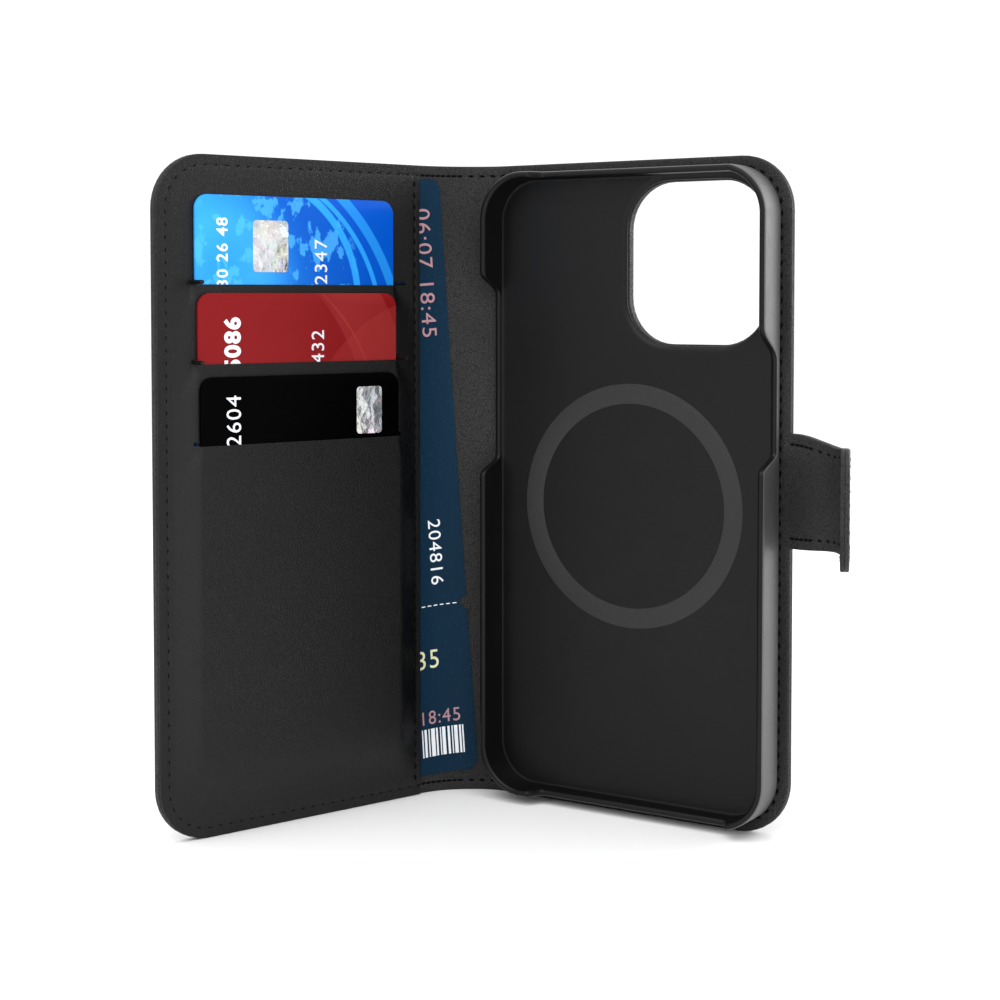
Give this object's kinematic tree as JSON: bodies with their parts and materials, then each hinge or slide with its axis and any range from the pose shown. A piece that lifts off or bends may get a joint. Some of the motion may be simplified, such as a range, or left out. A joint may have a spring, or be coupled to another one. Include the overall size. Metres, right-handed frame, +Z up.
{
  "type": "phone wallet case",
  "caption": "Book-style wallet case standing open: card cover with slits, soft spine, back cover with a hard phone tray and magnet ring, and a magnetic closure strap.",
  "frame": {"origin": "on the back cover's bottom edge, half-way along the phone tray's width and half-way through the cover's board", "axes": "+Z up along the phone's height, +X from the spine towards the closure strap, +Y out of the back cover's outer face; the phone and the reader are on the -Y side"},
  "size_m": [0.1457, 0.0843, 0.155],
  "materials": {
    "skin": "fine-grained black leather-look skin, satin",
    "lining": "smooth black lining leather, satin",
    "board": "greyboard stiffener, raw",
    "thread": "black sewing thread",
    "tray": "hard black plastic, fine matt texture",
    "ring": "dark grey printed trim, smooth",
    "steel": "thin steel sheet",
    "magnet": "nickel-plated magnet",
    "blue_card": "laminated card with a blue swirl print",
    "red_card": "laminated card with a deep red print",
    "black_card": "laminated black card",
    "ticket": "coated navy ticket paper"
  },
  "bodies": {
    "back_cover": {"back_outer_skin": "skin", "back_board": "board", "tray_holding_plate": "steel", "back_lining": "lining", "back_seam_thread": "thread", "strap_anchor": "skin"},
    "spine": {"spine_outer_skin": "skin", "spine_filler": "board", "spine_lining": "lining", "spine_bottom_thread": "thread", "spine_top_thread": "thread"},
    "front_cover": {"front_outer_skin": "skin", "front_board": "board", "closure_plate": "steel", "front_lining": "lining", "front_seam_thread": "thread", "pocket_backing": "lining", "card_panel": "lining", "panel_edge_thread": "thread", "event_ticket": "ticket"},
    "blue_card": {"blue_card": "blue_card"},
    "red_card": {"red_card": "red_card"},
    "black_card": {"black_card": "black_card"},
    "strap_side": {"strap_side_inner_ply": "lining", "strap_side_outer_ply": "skin", "strap_side_bottom_thread": "thread", "strap_side_top_thread": "thread"},
    "strap_tab": {"strap_tab_inner_ply": "lining", "strap_tab_outer_ply": "skin", "strap_tab_thread": "thread", "strap_magnet": "magnet"},
    "phone_tray": {"phone_tray": "tray", "magnet_ring_trim": "ring", "ring_magnet_01": "magnet", "ring_magnet_02": "magnet", "ring_magnet_03": "magnet", "ring_magnet_04": "magnet", "ring_magnet_05": "magnet", "ring_magnet_06": "magnet", "ring_magnet_07": "magnet", "ring_magnet_08": "magnet", "ring_magnet_09": "magnet", "ring_magnet_10": "magnet", "ring_magnet_11": "magnet", "ring_magnet_12": "magnet", "ring_magnet_13": "magnet", "ring_magnet_14": "magnet", "ring_magnet_15": "magnet", "ring_magnet_16": "magnet"}
  },
  "joints": [
    {"name": "fold_back", "type": "hinge", "parent": "back_cover", "child": "spine", "pos_m": [-0.04, -0.00092, 0.0775], "axis": [0, 0, -1], "range_deg": [-54.3, 125.7]},
    {"name": "fold_front", "type": "hinge", "parent": "spine", "child": "front_cover", "pos_m": [-0.05056, -0.00851, 0.0775], "axis": [0, 0, -1], "range_deg": [-54.3, 125.7], "deforming": ["event_ticket"]},
    {"name": "blue_card_slide", "type": "slide", "parent": "front_cover", "child": "blue_card", "axis": [0, 0, 1], "range_m": [0, 0.06]},
    {"name": "red_card_slide", "type": "slide", "parent": "front_cover", "child": "red_card", "axis": [0, 0, 1], "range_m": [0, 0.06]},
    {"name": "black_card_slide", "type": "slide", "parent": "front_cover", "child": "black_card", "axis": [0, 0, 1], "range_m": [0, 0.06]},
    {"name": "strap_root", "type": "hinge", "parent": "back_cover", "child": "strap_side", "pos_m": [0.0399, -0.00092, 0.0792], "axis": [0, 0, 1], "range_deg": [-69, 51]},
    {"name": "strap_fold", "type": "hinge", "parent": "strap_side", "child": "strap_tab", "pos_m": [0.05451, -0.00653, 0.0792], "axis": [0, 0, 1], "range_deg": [-43, 47]},
    {"name": "tray_pull_off", "type": "slide", "parent": "back_cover", "child": "phone_tray", "axis": [0, -1, 0], "range_m": [0, 0.03]}
  ],
  "couplings": [
    {"joint": "fold_front", "follows": "fold_back", "ratio": 1}
  ]
}
